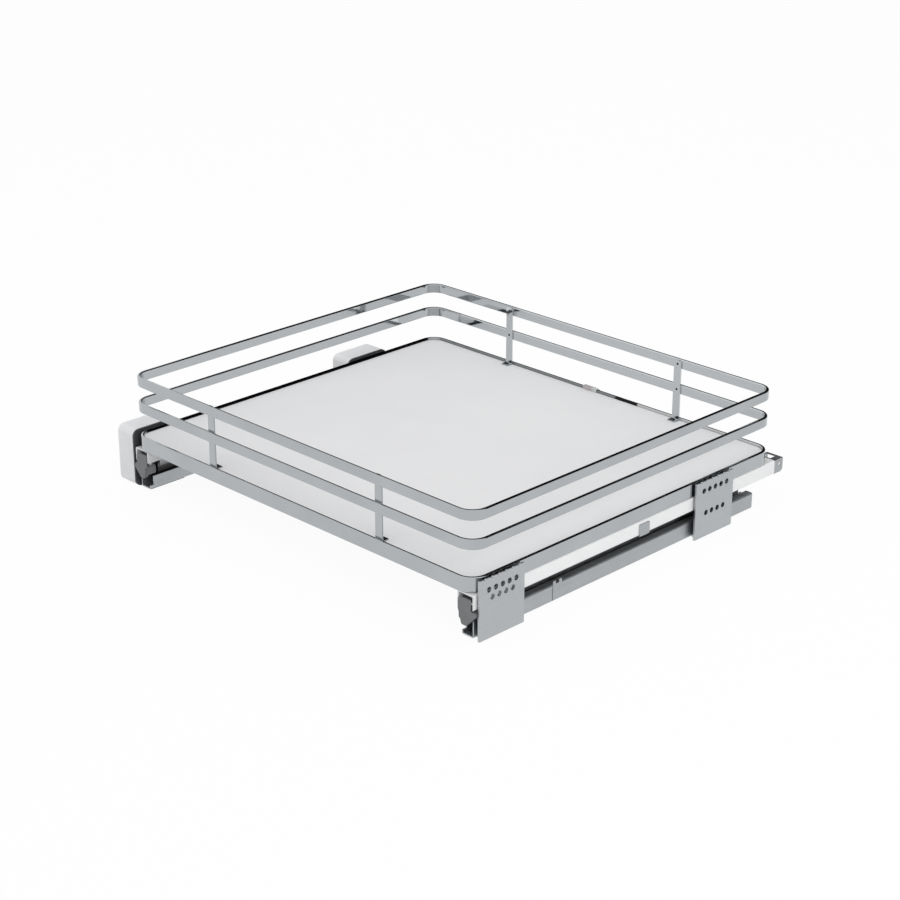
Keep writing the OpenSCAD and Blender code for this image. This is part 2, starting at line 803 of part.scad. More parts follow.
module front_clip() {
    body_z = pin_z + knuckle_r + lever_gap;
    ear_in = clip_in - lever_gap;
    ear_out = clip_out + 4 * lever_gap;
    color(grey_plastic) difference() {
        union() {
            block(clip_out, clip_in, clip_body_front(), clip_rear(), body_z, clip_top);
            for (u = [ear_out, ear_in - ear_w]) {
                bar_x(u, u + ear_w, pin_y, pin_z, 2 * knuckle_r);
                block(u, u + ear_w, pin_y - knuckle_r / 2, pin_y + knuckle_r, pin_z, body_z);
                block(u, u + ear_w, clip_body_front(), clip_rear(), pin_z, body_z + clip_r);
            }
            clip_pegs(0, 0);
        }
        bar_x(clip_out, clip_in, pin_y, pin_z, pin_d + 2 * pin_gap);
    }
}

module left_front_clip() { left_side() front_clip(); }
module right_front_clip() { right_side() front_clip(); }

// Release lever: the clip's whole front, a sloping shield over a bulging foot, which swings
// forwards on a pin

function bulge_z() = drawer_z - 2 * lever_gap - knuckle_r - bulge_r / 2;
function shield_t() = clip_proud - shield_gap;
function shield_out() = clip_out + shield_inset;
function shield_in() = clip_in - lever_gap;

module bulge() {
    translate([plate_in + bulge_gap + bulge_r, bulge_z()]) circle(r = bulge_r, $fn = hull_fn);
}

module inner_corner(u, z) {
    translate([u - tip_r, z + tip_r]) circle(r = tip_r, $fn = hull_fn);
}

module lever_outline() {
    tip_z = cab_top - tip_reach;
    hull() {
        bulge();
        inner_corner(cab_w * 0.6, tip_z);
        inner_corner(cab_w * 0.8, tip_z);
        inner_corner(cab_w * 0.93, cab_top + shoulder_gap);
    }
}

// The shoulder passes over the cabinet rail's outer wall and, lower down, over its inner wall
module shoulder_outline() {
    low_z = web_t + inner_wall_h + shoulder_gap;
    difference() {
        hull() {
            bulge();
            inner_corner(cab_w * 0.6, low_z);
            inner_corner(shield_in(), low_z);
            translate([shield_in() - tip_r, bulge_z() + bulge_r - tip_r])
                circle(r = tip_r, $fn = hull_fn);
        }
        translate([plate_in, 0]) square([cab_w / 2 - plate_in, cab_top + shoulder_gap]);
    }
}

module shield_outline() {
    rounded_rect(shield_out(), drawer_z - clip_r, shield_in(), clip_top, clip_r);
    hull() {
        translate([shield_out(), drawer_z - lever_gap - cut])
            square([shield_in() - shield_out(), cut]);
        bulge();
        inner_corner(cab_w * 0.93, cab_top + shoulder_gap);
    }
}

// The shield's front face curves back from its foot to its top
function shield_face(back) = [
    for (i = [0 : 6]) [clip_front + back + shield_slope * i * i / 36,
        drawer_z + (clip_top - drawer_z) * i / 6]
];

module shield() {
    rear_face = shield_face(shield_t());
    intersection() {
        along_y(clip_front, clip_front + shield_slope + shield_t()) shield_outline();
        along_x(plate_in, drawer_in) polygon(concat(
            [[clip_front, bulge_z()]], shield_face(0),
            [for (i = [len(rear_face) - 1 : -1 : 0]) rear_face[i]],
            [[clip_front + shield_t(), bulge_z()]]
        ));
    }
}

module release_lever() {
    knuckle_out = clip_out + 5 * lever_gap + ear_w;
    knuckle_in = clip_in - 2 * lever_gap - ear_w;
    shoulder_z = cab_top + shoulder_gap;
    ear_cut_d = 2 * (knuckle_r + lever_gap);
    color(grey_plastic) difference() {
        union() {
            shield();
            along_y(clip_front, cab_front - rail_gap) lever_outline();
            along_y(clip_front + shield_t(), clip_front + lever_d) shoulder_outline();
            bar_x(knuckle_out, knuckle_in, pin_y, pin_z, 2 * knuckle_r);
            block(knuckle_out, knuckle_in, pin_y - knuckle_r, pin_y + knuckle_r,
                shoulder_z, pin_z);
        }
        bar_x(plate_in, knuckle_out - lever_gap / 2, pin_y, pin_z, ear_cut_d);
        bar_x(knuckle_in + lever_gap / 2, drawer_in + cut, pin_y, pin_z, ear_cut_d);
        bar_x(plate_in, drawer_in, pin_y, pin_z, pin_d + 2 * pin_gap);
    }
}

module left_release_lever() { left_side() release_lever(); }
module right_release_lever() { right_side() release_lever(); }

module lever_pins() {
    color(steel) both_sides()
        bar_x(clip_out + 4 * lever_gap, clip_in - lever_gap, pin_y, pin_z, pin_d);
}

// Middle rail: one bent sheet with a head in the drawer rail and a foot in the cabinet rail

module middle_rail() {
    h = sheet_t / 2;
    color(steel) along_y(middle_front, middle_rear) bent_sheet([
        [cab_w - h, skirt_z],
        [cab_w - h, head_top - h],
        [head_out + h, head_top - h],
        [head_out + h, head_z + h],
        [web_mid, head_z + h],
        [web_mid, foot_z + h],
        [foot_out + h, foot_z + h],
        [foot_out + h, foot_top - h],
        [web_out - cage_gap, foot_top - h]
    ], sheet_t);
}

module left_middle_rail() { left_side() middle_rail(); }
module right_middle_rail() { right_side() middle_rail(); }

// Roller cages: two strips with windows, joined by a side wall, and a roller in each window

function roller_places(front) = [
    for (i = [0 : roller_n - 1])
        front + cage_l / 2 + (i - (roller_n - 1) / 2) * roller_pitch
];

// Middle of each row across the rail, and its height
function low_long_u() = (foot_out + web_in) / 2;
function low_short_u() = (foot_out + flange_w) / 2;
function high_short_u() = (head_out + lip_edge) / 2;
function high_long_u() = (head_out + web_in) / 2;
function low_long_z() = web_t + sheet_t + track / 2;
function low_short_z() = cab_top - sheet_t - track / 2;
function high_short_z() = drawer_z + sheet_t + track / 2;
function high_long_z() = drawer_top - sheet_t - track / 2;

module cage(front, wall_out, rows) {
    low = rows[0];
    high = rows[1];
    color(white) difference() {
        union() {
            for (row = rows)
                block(wall_out, row[3], front, front + cage_l,
                    row[1] - cage_t / 2, row[1] + cage_t / 2);
            block(wall_out, wall_out + cage_wall, front, front + cage_l,
                low[1] - cage_t / 2, high[1] + cage_t / 2);
        }
        for (row = rows, y = roller_places(front))
            block(row[0] - row[2] / 2 - window_gap, row[0] + row[2] / 2 + window_gap,
                y - roller_d / 2 - window_gap, y + roller_d / 2 + window_gap,
                row[1] - cage_t, row[1] + cage_t);
    }
}

module rollers(front, rows) {
    color(dark_steel) for (row = rows, y = roller_places(front))
        bar_x(row[0] - row[2] / 2, row[0] + row[2] / 2, y, row[1], roller_d);
}

// A row is its middle across the rail, its height, its rollers' length and its strip's edge
function low_rows() = [
    [low_long_u(), low_long_z(), long_roller_l, cab_w - sheet_t - cage_slack],
    [low_short_u(), low_short_z(), short_roller_l, web_out - cage_slack]
];
function high_rows() = [
    [high_short_u(), high_short_z(), short_roller_l, web_out - cage_slack],
    [high_long_u(), high_long_z(), long_roller_l, cab_w - sheet_t - cage_slack]
];

module lower_cage() { cage(tray_front + low_cage_at, sheet_t + cage_gap, low_rows()); }
module upper_cage() { cage(tray_front + high_cage_at, clip_out + cage_gap, high_rows()); }
module lower_rollers() { rollers(tray_front + low_cage_at, low_rows()); }
module upper_rollers() { rollers(tray_front + high_cage_at, high_rows()); }

module left_lower_cage() { left_side() lower_cage(); }
module right_lower_cage() { right_side() lower_cage(); }
module left_lower_rollers() { left_side() lower_rollers(); }
module right_lower_rollers() { right_side() lower_rollers(); }
module left_upper_cage() { left_side() upper_cage(); }
module right_upper_cage() { right_side() upper_cage(); }
module left_upper_rollers() { left_side() upper_rollers(); }
module right_upper_rollers() { right_side() upper_rollers(); }

// Cabinet rail: a channel with a flange over its outer half and an end stop bent up at the rear

module cabinet_rail(plates) {
    color(steel) difference() {
        union() {
            along_y(cab_front, cab_rear) difference() {
                rounded_rect(0, web_t, cab_w, cab_top, bend_r);
                rounded_rect(sheet_t, web_t + sheet_t, cab_w - sheet_t, cab_top - sheet_t,
                    bend_r - sheet_t);
                translate([flange_w, cab_top - sheet_t - bend_r])
                    square([cab_w - flange_w + cut, sheet_t + bend_r + cut]);
                translate([cab_w - sheet_t - bend_r, web_t + inner_wall_h])
                    square([sheet_t + bend_r + cut, cab_h]);
            }
            block(0, sheet_t, cab_front + lug_at, cab_front + lug_at + lug_l,
                cab_top - sheet_t - bend_r, cab_top + lug_h);
            block(foot_out, web_in, cab_rear - sheet_t, cab_rear,
                web_t + sheet_t / 2, buffer_z() + buffer_d / 2);
        }
        block(sheet_t, cab_w - sheet_t, cab_front - cut, cab_front + notch_l,
            cab_top - sheet_t - bend_r, cab_top + cut);
        block(cab_w - sheet_t - bend_r, cab_w + cut, cab_front - cut, cab_front + wall_notch_l,
            web_t + wall_notch_h, cab_top + cut);
        block(-cut, sheet_t + cut, cab_front + lug_at + (lug_l - lug_gap) / 2,
            cab_front + lug_at + (lug_l + lug_gap) / 2, cab_top, cab_top + lug_h + cut);
        block(-cut, groove_deep, cab_front + lug_at - groove_w, cab_front + lug_at,
            web_t - cut, cab_top + cut);
        bar_y(cab_rear - sheet_t - cut, cab_rear + cut, buffer_u(), buffer_z(),
            buffer_stem_d + 2 * pin_gap);
        for (plate = plates)
            web_rivet_bars(plate, web_rivet_d + 2 * pin_gap);
        carrier_pegs(pin_gap);
    }
}

function right_plates() = [
    [cab_front, plate_l], [cab_front + right_rear_at, plate_l]
];
function left_plates() = [
    [cab_front - spacer_lead, spacer_l], [cab_front + left_rear_at, spacer_l]
];

module left_cabinet_rail() { left_side() cabinet_rail(left_plates()); }
module right_cabinet_rail() { right_side() cabinet_rail(right_plates()); }

function buffer_u() = (foot_out + web_in) / 2;
function buffer_z() = (foot_z + foot_top) / 2;

module rear_buffer() {
    stop_front = cab_rear - sheet_t;
    color(black_rubber) {
        bar_y(middle_rear + buffer_gap, stop_front, buffer_u(), buffer_z(), buffer_d);
        bar_y(stop_front - cut, cab_rear, buffer_u(), buffer_z(), buffer_stem_d);
    }
}

module left_rear_buffer() { left_side() rear_buffer(); }
module right_rear_buffer() { right_side() rear_buffer(); }

// Dampers, beside the cabinet rails' inner walls

function ring_places() = [
    damper_front + ring_in, damper_front + damper_l - ring_in - ring_l
];

module carrier_pegs(gap) {
    for (y = ring_places())
        bar_x(cab_w - sheet_t, cab_w, y + ring_l / 2, damper_z, rod_d + 2 * gap);
}

module damper_carrier() {
    ring_d = damper_d + 2 * ring_t;
    color(grey_plastic) difference() {
        union() {
            along_x(cab_w, cab_w + carrier_t)
                rounded_rect(ring_places()[0], damper_z - carrier_h / 2,
                    ring_places()[1] + ring_l, damper_z + carrier_h / 2, bend_r);
            for (y = ring_places())
                difference() {
                    bar_y(y, y + ring_l, damper_u, damper_z, ring_d);
                    block(damper_u, damper_u + ring_d, y - cut, y + ring_l + cut,
                        damper_z - ring_mouth / 2, damper_z + ring_mouth / 2);
                    block(damper_u - ring_d, cab_w, y - cut, y + ring_l + cut,
                        damper_z - ring_d, damper_z + ring_d);
                }
            carrier_pegs(0);
        }
        for (y = ring_places())
            bar_y(y - cut, y + ring_l + cut, damper_u, damper_z, damper_d + 2 * pin_gap);
    }
}

module left_damper_carrier() { left_side() damper_carrier(); }
module right_damper_carrier() { right_side() damper_carrier(); }

module damper_cylinder() {
    damper_rear = damper_front + damper_l;
    color(dark_steel) difference() {
        bar_y(damper_front, damper_rear, damper_u, damper_z, damper_d);
        bar_y(damper_front + damper_end, damper_rear - damper_end, damper_u, damper_z,
            damper_d - 2 * damper_wall);
        bar_y(damper_front - cut, damper_front + damper_end + cut, damper_u, damper_z,
            rod_d + 2 * piston_gap);
    }
}

module left_damper_cylinder() { left_side() damper_cylinder(); }
module right_damper_cylinder() { right_side() damper_cylinder(); }

module damper_plunger() {
    piston_rear = damper_front + damper_l - damper_end - piston_gap;
    color(bright_steel) {
        bar_y(tip_front, tip_front + rod_tip_l, damper_u, damper_z, rod_tip_d);
        bar_y(tip_front + rod_tip_l / 2, piston_rear - piston_l / 2, damper_u, damper_z, rod_d);
        bar_y(piston_rear - piston_l, piston_rear, damper_u, damper_z,
            damper_d - 2 * damper_wall - 2 * piston_gap);
    }
}

module left_damper_plunger() { left_side() damper_plunger(); }
module right_damper_plunger() { right_side() damper_plunger(); }

// Brackets: a side plate, and a web under the cabinet rail

module web_rivet_bars(plate, d) {
    mid = plate[0] + plate[1] / 2;
    for (side = [-1, 1])
        translate([cab_w / 2, mid + side * web_rivet_span / 2, 0])
            cylinder(h = web_t + sheet_t, d = d);
}

module bracket_web(plate, recess) {
    block(plate_out, cab_w - web_inset, plate[0] + recess, plate[0] + plate[1] - recess,
        0, web_t);
}

module hole_row(plate, z, n) {
    mid = plate[0] + plate[1] / 2 + row_shift;
    for (i = [0 : n - 1])
        bar_x(plate_out - cut, plate_in + cut, mid + (i - (n - 1) / 2) * hole_pitch, z, hole_d);
}

module right_bracket(plate, upper_z, lower_z) {
    mid = plate[0] + plate[1] / 2;
    color(steel) difference() {
        union() {
            along_x(plate_out, plate_in) difference() {
                rounded_rect(plate[0], 0, plate[0] + plate[1], plate_h, plate_r);
                for (i = [0 : notch_n - 1])
                    translate([mid + (i - (notch_n - 1) / 2) * hole_pitch,
                            plate_h - top_notch_h + top_notch_r])
                        circle(r = top_notch_r);
            }
            bracket_web(plate, web_recess);
        }
        hole_row(plate, upper_z, upper_n);
        hole_row(plate, lower_z, lower_n);
        web_rivet_bars(plate, web_rivet_d + 2 * pin_gap);
    }
}

module right_front_bracket() {
    right_side() right_bracket(right_plates()[0], front_upper_z, front_lower_z);
}

module right_rear_bracket() {
    right_side() right_bracket(right_plates()[1], rear_upper_z, rear_lower_z);
}

module spacer_outline(plate, inset) {
    rounded_rect(plate[0] + inset, inset, plate[0] + plate[1] - inset, spacer_h - inset,
        spacer_r - inset);
}

module mount_bars(plate, d) {
    mid = plate[0] + plate[1] / 2;
    for (side = [-1, 1])
        bar_x(spacer_out - cut, plate_in + cut, mid + side * spacer_pitch / 2,
            spacer_hole_z, d);
}

module spacer_screw_bars(plate, u0, u1, d) {
    mid = plate[0] + plate[1] / 2;
    for (side = [-1, 1])
        bar_x(u0, u1, mid + side * spacer_screw_span / 2, spacer_screw_z, d);
}

module left_bracket(plate) {
    color(dark_steel) difference() {
        union() {
            along_x(plate_out, plate_in) spacer_outline(plate, 0);
            bracket_web(plate, max(web_recess, spacer_r));
        }
        mount_bars(plate, hole_d);
        spacer_screw_bars(plate, plate_out - cut, plate_in + cut, spacer_screw_d + 2 * pin_gap);
        web_rivet_bars(plate, web_rivet_d + 2 * pin_gap);
    }
}

module left_front_bracket() { left_side() left_bracket(left_plates()[0]); }
module left_rear_bracket() { left_side() left_bracket(left_plates()[1]); }

module bracket_rivets() {
    color(steel) {
        left_side() for (plate = left_plates()) web_rivet_bars(plate, web_rivet_d);
        right_side() for (plate = right_plates()) web_rivet_bars(plate, web_rivet_d);
    }
}

// Spacers: hollow mouldings between the left brackets and the cabinet side

module spacer(plate) {
    mid = plate[0] + plate[1] / 2;
    floor_u = spacer_out + spacer_wall;
    color(white) difference() {
        union() {
            difference() {
                along_x(spacer_out, plate_out) spacer_outline(plate, 0);
                along_x(floor_u, plate_out + cut) spacer_outline(plate, spacer_wall);
            }
            block(floor_u - cut, plate_out, mid - rib_t / 2, mid + rib_t / 2,
                spacer_wall / 2, spacer_h - spacer_wall / 2);
            for (side = [-1, 1]) {
                bar_x(spacer_out, plate_out, mid + side * spacer_pitch / 2, spacer_hole_z, boss_d);
                bar_x(spacer_out, plate_out, mid + side * spacer_screw_span / 2,
                    spacer_screw_z, boss_d - rib_t);
            }
        }
        mount_bars(plate, hole_d);
        spacer_screw_bars(plate, plate_out - spacer_screw_l, plate_out + cut,
            spacer_screw_d + 2 * pin_gap);
    }
}

module front_spacer() { left_side() spacer(left_plates()[0]); }
module rear_spacer() { left_side() spacer(left_plates()[1]); }

module spacer_screws() {
    color(steel) left_side() for (plate = left_plates(), side = [-1, 1])
        translate([plate_in, plate[0] + plate[1] / 2 + side * spacer_screw_span / 2,
                spacer_screw_z])
            rotate([0, 90, 0])
                button(spacer_head_d, spacer_head_h, spacer_screw_d, spacer_screw_l);
}

tray_panel();
tray_rim();
rim_joint_cover();
rim_joint_screw();
lower_guard_rail();
upper_guard_rail();
front_left_upright();
front_right_upright();
rear_left_upright();
rear_right_upright();
upright_rivets();
foot_screws();
tray_screws();
left_drawer_rail();
right_drawer_rail();
left_rear_hook();
right_rear_hook();
hook_rivets();
rail_side_tabs();
damper_catches();
left_front_clip();
right_front_clip();
left_release_lever();
right_release_lever();
lever_pins();
left_middle_rail();
right_middle_rail();
left_lower_cage();
right_lower_cage();
left_lower_rollers();
right_lower_rollers();
left_upper_cage();
right_upper_cage();
left_upper_rollers();
right_upper_rollers();
left_cabinet_rail();
right_cabinet_rail();
left_rear_buffer();
right_rear_buffer();
left_damper_carrier();
right_damper_carrier();
left_damper_cylinder();
right_damper_cylinder();
left_damper_plunger();
right_damper_plunger();
left_front_bracket();
left_rear_bracket();
right_front_bracket();
right_rear_bracket();
bracket_rivets();
front_spacer();
rear_spacer();
spacer_screws();
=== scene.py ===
import math

import bpy
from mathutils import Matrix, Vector


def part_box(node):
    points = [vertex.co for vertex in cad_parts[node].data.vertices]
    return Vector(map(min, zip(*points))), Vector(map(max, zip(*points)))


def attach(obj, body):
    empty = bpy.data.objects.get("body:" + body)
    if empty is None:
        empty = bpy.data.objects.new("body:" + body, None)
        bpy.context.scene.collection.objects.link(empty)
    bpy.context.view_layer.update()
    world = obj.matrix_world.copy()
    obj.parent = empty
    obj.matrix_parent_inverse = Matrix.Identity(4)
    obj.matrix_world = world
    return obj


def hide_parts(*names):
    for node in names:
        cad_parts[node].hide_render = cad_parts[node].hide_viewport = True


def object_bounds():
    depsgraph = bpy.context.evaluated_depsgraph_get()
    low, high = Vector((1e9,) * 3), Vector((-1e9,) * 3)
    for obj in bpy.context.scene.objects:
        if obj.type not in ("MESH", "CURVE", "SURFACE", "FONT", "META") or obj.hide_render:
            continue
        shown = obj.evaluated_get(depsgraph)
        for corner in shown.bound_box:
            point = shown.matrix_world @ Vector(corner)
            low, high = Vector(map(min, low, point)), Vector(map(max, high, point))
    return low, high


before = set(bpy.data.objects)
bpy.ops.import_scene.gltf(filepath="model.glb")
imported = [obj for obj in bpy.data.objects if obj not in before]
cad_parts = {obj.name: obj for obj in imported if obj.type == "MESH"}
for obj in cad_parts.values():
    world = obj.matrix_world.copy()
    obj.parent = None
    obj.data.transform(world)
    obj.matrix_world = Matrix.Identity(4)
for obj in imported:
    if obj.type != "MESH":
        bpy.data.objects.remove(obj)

cad_low, cad_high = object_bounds()


# Cabinet rails
# Two channels roll-formed from zinc-plated steel sheet, screwed to the cabinet by the brackets.
# The press leaves their cut edges slightly rounded, and rolling leaves fine lines along them.

def select_only(*objects):
    """Leaves just these objects selected, the first one active."""
    if bpy.context.object and bpy.context.object.mode == "EDIT":
        bpy.ops.object.mode_set(mode="OBJECT")
    bpy.ops.object.select_all(action="DESELECT")
    for each in objects:
        each.select_set(True)
    bpy.context.view_layer.objects.active = objects[0]


def apply_modifier(piece, kind, **settings):
    """Adds one modifier with these settings and applies it."""
    select_only(piece)
    modifier = piece.modifiers.new(kind.title(), kind)
    for name, value in settings.items():
        setattr(modifier, name, value)
    bpy.ops.object.modifier_apply(modifier=modifier.name)


def ease_edges(piece, width, segments=2, angle=32):
    """Rounds the sharp edges of a piece and shades it smooth, with its flats kept flat."""
    apply_modifier(piece, "BEVEL", width=width, segments=segments, limit_method="ANGLE",
                   angle_limit=math.radians(angle), miter_outer="MITER_ARC")
    select_only(piece)
    bpy.ops.object.shade_smooth_by_angle(angle=math.radians(angle))
    apply_modifier(piece, "WEIGHTED_NORMAL", weight=80, keep_sharp=True)


def finish_node(node, body, material, width, segments=2):
    """Stands in for a CAD node with a copy of it whose edges are eased."""
    piece = bpy.data.objects.new(node + "_finished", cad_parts[node].data.copy())
    bpy.context.scene.collection.objects.link(piece)
    select_only(piece)
    bpy.ops.object.mode_set(mode="EDIT")
    bpy.ops.mesh.select_all(action="SELECT")
    bpy.ops.mesh.remove_doubles(threshold=2e-6)
    bpy.ops.mesh.dissolve_limited(angle_limit=math.radians(0.5))
    bpy.ops.object.mode_set(mode="OBJECT")
    ease_edges(piece, width, segments)
    piece.data.materials.clear()
    piece.data.materials.append(material)
    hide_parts(node)
    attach(piece, body)
    return piece


class Finish:
    """A material with a Principled shader, and short ways to add nodes to it."""

    def __init__(self, name, **sockets):
        self.material = bpy.data.materials.new(name)
        self.material.use_nodes = True
        self.tree = self.material.node_tree
        self.shader = self.tree.nodes["Principled BSDF"]
        for socket, value in sockets.items():
            self.shader.inputs[socket.replace("_", " ")].default_value = value
        self.place = self.add("ShaderNodeTexCoord").outputs["Object"]

    def add(self, kind, links=(), **settings):
        node = self.tree.nodes.new(kind)
        for name, value in settings.items():
            if name in node.inputs:
                node.inputs[name].default_value = value
            else:
                setattr(node, name, value)
        for socket, source in dict(links).items():
            self.tree.links.new(source, node.inputs[socket])
        return node

    def stretched(self, scale):
        """Object coordinates stretched by a scale of their own on each axis."""
        mapping = self.add("ShaderNodeMapping", {"Vector": self.place})
        mapping.inputs["Scale"].default_value = scale
        return mapping.outputs["Vector"]

    def noise(self, scale, detail=4.0, rough=0.5, vector=None):
        return self.add("ShaderNodeTexNoise", {"Vector": vector or self.place},
                        Scale=scale, Detail=detail, Roughness=rough).outputs["Fac"]

    def ramp(self, value, stops, low=0.3, high=0.7):
        """Turns a value from low to high into a colour or number between the two stops."""
        node = self.add("ShaderNodeValToRGB", {"Fac": value})
        ramp = node.color_ramp
        ramp.elements[0].position = low
        ramp.elements[1].position = high
        for element, stop in zip(ramp.elements, stops):
            element.color = (*stop, 1) if isinstance(stop, tuple) else (stop, stop, stop, 1)
        return node.outputs["Color"]

    def colour(self, source):
        self.tree.links.new(source, self.shader.inputs["Base Color"])

    def roughness(self, source):
        self.tree.links.new(source, self.shader.inputs["Roughness"])

    def bump(self, height, distance, strength=1.0, under=None):
        links = {"Height": height}
        if under:
            links["Normal"] = under
        node = self.add("ShaderNodeBump", links, Distance=distance, Strength=strength)
        self.tree.links.new(node.outputs["Normal"], self.shader.inputs["Normal"])
        return node.outputs["Normal"]


def zinc_sheet(name, dark, light, smooth=0.26, rough=0.40):
    """Zinc-plated sheet: rolling lines along Y, a faint spangle and small rub marks."""
    finish = Finish(name, Metallic=1.0)
    lines = finish.noise(1.0, 3, 0.6, finish.stretched((900, 6, 900)))
    cloud = finish.noise(55, 5, 0.6)
    grain = finish.noise(1400, 2, 0.5)
    spangle = finish.add("ShaderNodeTexVoronoi", {"Vector": finish.place}, Scale=420.0)
    mix = finish.add("ShaderNodeMath", {0: cloud, 1: spangle.outputs["Distance"]},
                     operation="MULTIPLY_ADD")
    finish.tree.links.new(lines, mix.inputs[2])
    finish.colour(finish.ramp(mix.outputs[0], (dark, light), high=1.1))
    finish.roughness(finish.ramp(cloud, (smooth, rough)))
    first = finish.bump(lines, 0.00002, 0.35)
    finish.bump(grain, 0.00002, 0.3, first)
    return finish.material


rail_zinc = zinc_sheet("rail_zinc", (0.41, 0.43, 0.445), (0.47, 0.49, 0.505), 0.42, 0.55)
SHEET_EASE = 0.00022
for side in ("left", "right"):
    finish_node(f"{side}_cabinet_rail", "root", rail_zinc, SHEET_EASE)


# Rear buffers
# A rubber stop in the bent-up end of each cabinet rail takes the middle rail's foot.
# Each is moulded in one piece, with a stem pulled through the hole in the end stop.

buffer_rubber = Finish("buffer_rubber", Base_Color=(0.018, 0.018, 0.019, 1))
buffer_rubber.roughness(buffer_rubber.ramp(buffer_rubber.noise(300), (0.55, 0.78)))
buffer_rubber.bump(buffer_rubber.noise(1600, 3), 0.00006, 0.6)
for side in ("left", "right"):
    finish_node(f"{side}_rear_buffer", "root", buffer_rubber.material, 0.0006, 4)


# Soft-close dampers
# A grey plastic carrier is pegged to each cabinet rail's inner wall and holds an oil damper.
# The damper is a coated steel cylinder with a bright rod and a flat tip.

def moulded_plastic(name, base, sheen=0.42, grain=0.00004):
    """Moulded plastic: a fine eroded grain, with slight clouding in colour and gloss."""
    finish = Finish(name, IOR=1.47)
    cloud = finish.noise(40, 4)
    light = tuple(min(1.0, c * 1.05) for c in base)
    dark = tuple(c * 0.94 for c in base)
    finish.colour(finish.ramp(cloud, (dark, light)))
    finish.roughness(finish.ramp(finish.noise(220, 4), (sheen - 0.06, sheen + 0.08)))
    finish.bump(finish.noise(2600, 3, 0.6), grain, 0.6)
    return finish.material


clip_plastic = moulded_plastic("clip_plastic", (0.165, 0.172, 0.180))
cylinder_coat = Finish("cylinder_coat", Metallic=0.6, Base_Color=(0.07, 0.075, 0.08, 1))
cylinder_coat.roughness(cylinder_coat.ramp(cylinder_coat.noise(160), (0.28, 0.42)))
cylinder_coat.bump(cylinder_coat.noise(900, 3), 0.00003, 0.5)


def ground_steel(name, tone):
    """Bright ground steel, with fine rings round X and small scuffs."""
    finish = Finish(name, Metallic=1.0)
    rings = finish.noise(1.0, 2, 0.5, finish.stretched((2600, 30, 30)))
    finish.colour(finish.ramp(rings, (tuple(c * 0.9 for c in tone), tone)))
    finish.roughness(finish.ramp(finish.noise(350, 4), (0.12, 0.24)))
    finish.bump(rings, 0.00001, 0.5)
    return finish.material


bright_steel = ground_steel("bright_steel", (0.55, 0.56, 0.57))
for side in ("left", "right"):
    finish_node(f"{side}_damper_carrier", "root", clip_plastic, 0.0003)
    finish_node(f"{side}_damper_cylinder", "root", cylinder_coat.material, 0.0004, 3)
    finish_node(f"{side}_damper_plunger", f"{side}_plunger", bright_steel, 0.0003, 3)


# Side brackets
# Four plates blanked and bent from plated sheet, each with a web riveted under the cabinet rail.
# The right ones are bright, with rows of screw holes. The left ones are given a dark grey colour as
# painted shade and dark reflection from the narrow gap beside them.

bracket_steel = zinc_sheet("bracket_steel", (0.43, 0.45, 0.465), (0.48, 0.50, 0.515), 0.30, 0.42)
# Painted shade: the left plates' dark grey colour stands for the shade and dark reflection they
# show.
left_bracket_shade = Finish("left_bracket_shade", Metallic=0.2)
left_bracket_shade.colour(left_bracket_shade.ramp(left_bracket_shade.noise(70, 5),
                                      ((0.050, 0.052, 0.055), (0.075, 0.077, 0.080))))
left_bracket_shade.roughness(left_bracket_shade.ramp(left_bracket_shade.noise(240), (0.38, 0.52)))
left_bracket_shade.bump(left_bracket_shade.noise(1100, 3), 0.00005, 0.6)
for place in ("front", "rear"):
    finish_node(f"right_{place}_bracket", "root", bracket_steel, 0.00025)
    finish_node(f"left_{place}_bracket", "root", left_bracket_shade.material, 0.00025)
finish_node("bracket_rivets", "root", bright_steel, 0.0002)


# Spacers
# Two hollow white mouldings fill the gap between the left brackets and the cabinet side.
# Pan-head screws hold each one to its bracket.

spacer_white = moulded_plastic("spacer_white", (0.80, 0.805, 0.82), 0.46)
for place in ("front", "rear"):
    finish_node(f"{place}_spacer", "root", spacer_white, 0.0009, 4)
finish_node("spacer_screws", "root", bright_steel, 0.0002)


# Roller cages
# Each rail pair runs on rollers of ground steel, kept apart by a cage of natural plastic.
# The rollers drop into the cage's windows before the rails are slid together.

cage_white = moulded_plastic("cage_white", (0.74, 0.73, 0.69), 0.40)
for side in ("left", "right"):
    for level in ("lower", "upper"):
        body = f"{side}_{level}_bearing"
        finish_node(f"{side}_{level}_cage", body, cage_white, 0.0003)
        finish_node(f"{side}_{level}_rollers", body, bright_steel, 0.0003)


# Middle rails
# One folded strip of zinc-plated sheet a side, which runs between the other two rails.
# Its web below the skirt is given a dark colour as painted shade from inside the channel.

SKIRT_FOOT = 0.0270
SHADE_EDGE_WIDTH = 0.0007


def web_shaded_zinc(name, web, skirt):
    """Zinc-plated sheet painted dark below the skirt, as painted shade with a ragged edge."""
    finish = Finish(name, Metallic=1.0)
    height = finish.add("ShaderNodeSeparateXYZ", {"Vector": finish.place}).outputs["Z"]
    ragged_height = finish.add("ShaderNodeMath", {0: finish.noise(260, 4), 2: height},
                       operation="MULTIPLY_ADD")
    ragged_height.inputs[1].default_value = 0.0006
    # Painted shade: below the skirt's foot the sheet takes the dark web colour.
    finish.colour(finish.ramp(ragged_height.outputs[0], (web, skirt), SKIRT_FOOT, SKIRT_FOOT + SHADE_EDGE_WIDTH))
    finish.roughness(finish.ramp(finish.noise(90, 4), (0.34, 0.48)))
    finish.bump(finish.noise(1.0, 3, 0.6, finish.stretched((900, 6, 900))), 0.00004, 0.5)
    return finish.material


